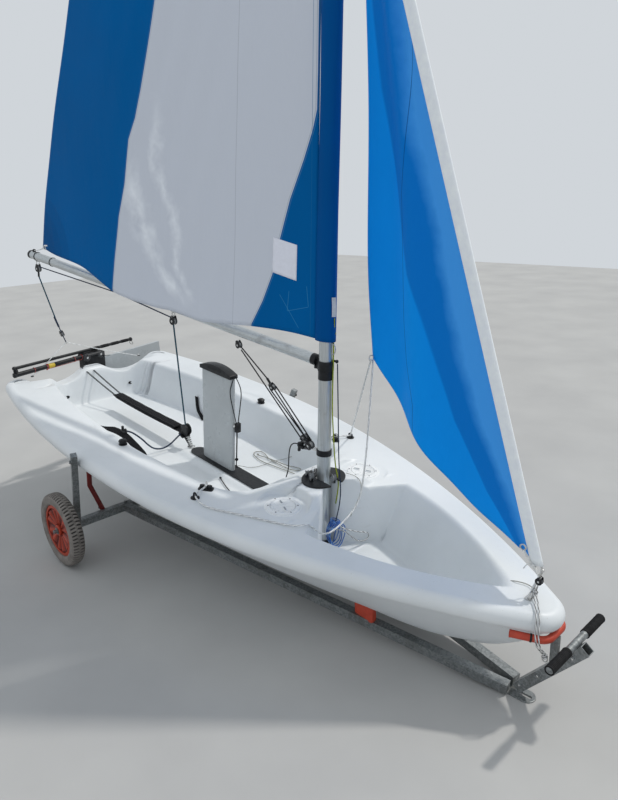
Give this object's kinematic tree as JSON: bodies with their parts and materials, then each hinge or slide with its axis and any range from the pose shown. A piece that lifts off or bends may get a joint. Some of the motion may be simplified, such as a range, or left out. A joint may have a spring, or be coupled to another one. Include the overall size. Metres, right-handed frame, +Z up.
{
  "type": "sailing dinghy on its launching trolley",
  "caption": "Small sloop-rigged sailing dinghy with an open cockpit, raised daggerboard and rudder, standing on a two-wheeled launching trolley.",
  "frame": {"origin": "floor level, at the centre of the object's box seen from above", "axes": "+X towards the bow, +Y to port, +Z up"},
  "size_m": [3.7984, 1.64, 5.598],
  "materials": {
    "hull_white": "satin rotomoulded polyethylene",
    "black_plastic": "satin moulded nylon",
    "black_webbing": "woven webbing",
    "spar_metal": "anodised, satin",
    "steel_zinc": "galvanised, spangled and dull",
    "stainless": "polished",
    "foil_grey": "smooth moulded",
    "sail_main": "crisp woven sailcloth with blue panels",
    "sail_jib": "crisp woven sailcloth",
    "tyre_rubber": "dusty lugged rubber",
    "rim_orange": "moulded plastic",
    "red_pad": "soft sleeve",
    "grip_black": "ribbed grip",
    "hatch_white": "moulded"
  },
  "bodies": {
    "root": {"hull": "hull_white", "mast_collar": "black_plastic", "hatch_starboard": "hatch_white", "hatch_port": "hatch_white", "rowlock_plugs": "black_plastic", "jib_cleats": "black_plastic", "case_capping": "black_plastic", "toe_strap": "black_webbing", "ratchet_block": "black_plastic", "bow_eye": "stainless", "transom_fitting": "stainless", "jib": "sail_jib", "stay_ring": "stainless", "forestay": "stainless", "axle": "steel_zinc", "side_beam_starboard": "steel_zinc", "side_beam_port": "steel_zinc", "hitch_plate": "steel_zinc", "front_arm": "steel_zinc", "handle": "steel_zinc", "gunwale_post_starboard": "steel_zinc", "gunwale_post_port": "steel_zinc", "handle_grips": "grip_black", "support_arm_starboard": "red_pad", "support_arm_port": "red_pad", "snubber": "red_pad", "snubber_post": "steel_zinc", "beam_pads": "red_pad"},
    "rig": {"mast_lower": "spar_metal", "mast_upper": "spar_metal", "mast_foot": "black_plastic", "masthead_cap": "black_plastic", "mast_band": "black_plastic", "gooseneck": "black_plastic", "boom": "spar_metal", "boom_end": "black_plastic", "vang_boom_block": "black_plastic", "sheet_blocks": "black_plastic", "vang_mast_block": "black_plastic", "mainsail": "sail_main"},
    "rudder": {"rudder_stock": "black_plastic", "tiller": "black_plastic"},
    "rudder_blade": {"rudder_blade": "foil_grey"},
    "tiller_extension": {"tiller_extension": "black_plastic"},
    "daggerboard": {"daggerboard": "foil_grey", "daggerboard_handle": "black_plastic"},
    "wheel_starboard": {"tyre_starboard": "tyre_rubber", "rim_starboard": "rim_orange"},
    "wheel_port": {"tyre_port": "tyre_rubber", "rim_port": "rim_orange"}
  },
  "joints": [
    {"name": "wheel_starboard_spin", "type": "hinge", "parent": "root", "child": "wheel_starboard", "pos_m": [-0.5893, -0.772, 0.2], "axis": [0, 1, 0], "continuous": true},
    {"name": "wheel_port_spin", "type": "hinge", "parent": "root", "child": "wheel_port", "pos_m": [-0.5893, 0.772, 0.2], "axis": [0, 1, 0], "continuous": true},
    {"name": "boom_swing", "type": "hinge", "parent": "root", "child": "rig", "pos_m": [0.6474, 0, 1.14724], "axis": [0.0621, 0, 0.9981], "range_deg": [-87, 73]},
    {"name": "rudder_turn", "type": "hinge", "parent": "root", "child": "rudder", "pos_m": [-1.74439, 0, 0.69106], "axis": [0.1045, 0, 0.9945], "range_deg": [-7, 163]},
    {"name": "blade_lowering", "type": "hinge", "parent": "rudder", "child": "rudder_blade", "pos_m": [-1.76245, 0.10271, 0.72815], "axis": [-0.9728, -0.2079, 0.1022], "range_deg": [0, 90]},
    {"name": "extension_swing", "type": "hinge", "parent": "rudder", "child": "tiller_extension", "pos_m": [-1.62017, -0.51842, 0.81878], "axis": [0.1045, 0, 0.9945], "range_deg": [-140, 140]},
    {"name": "daggerboard_slide", "type": "slide", "parent": "root", "child": "daggerboard", "axis": [-0.1045, 0, -0.9945], "range_m": [0, 0.52]}
  ]
}
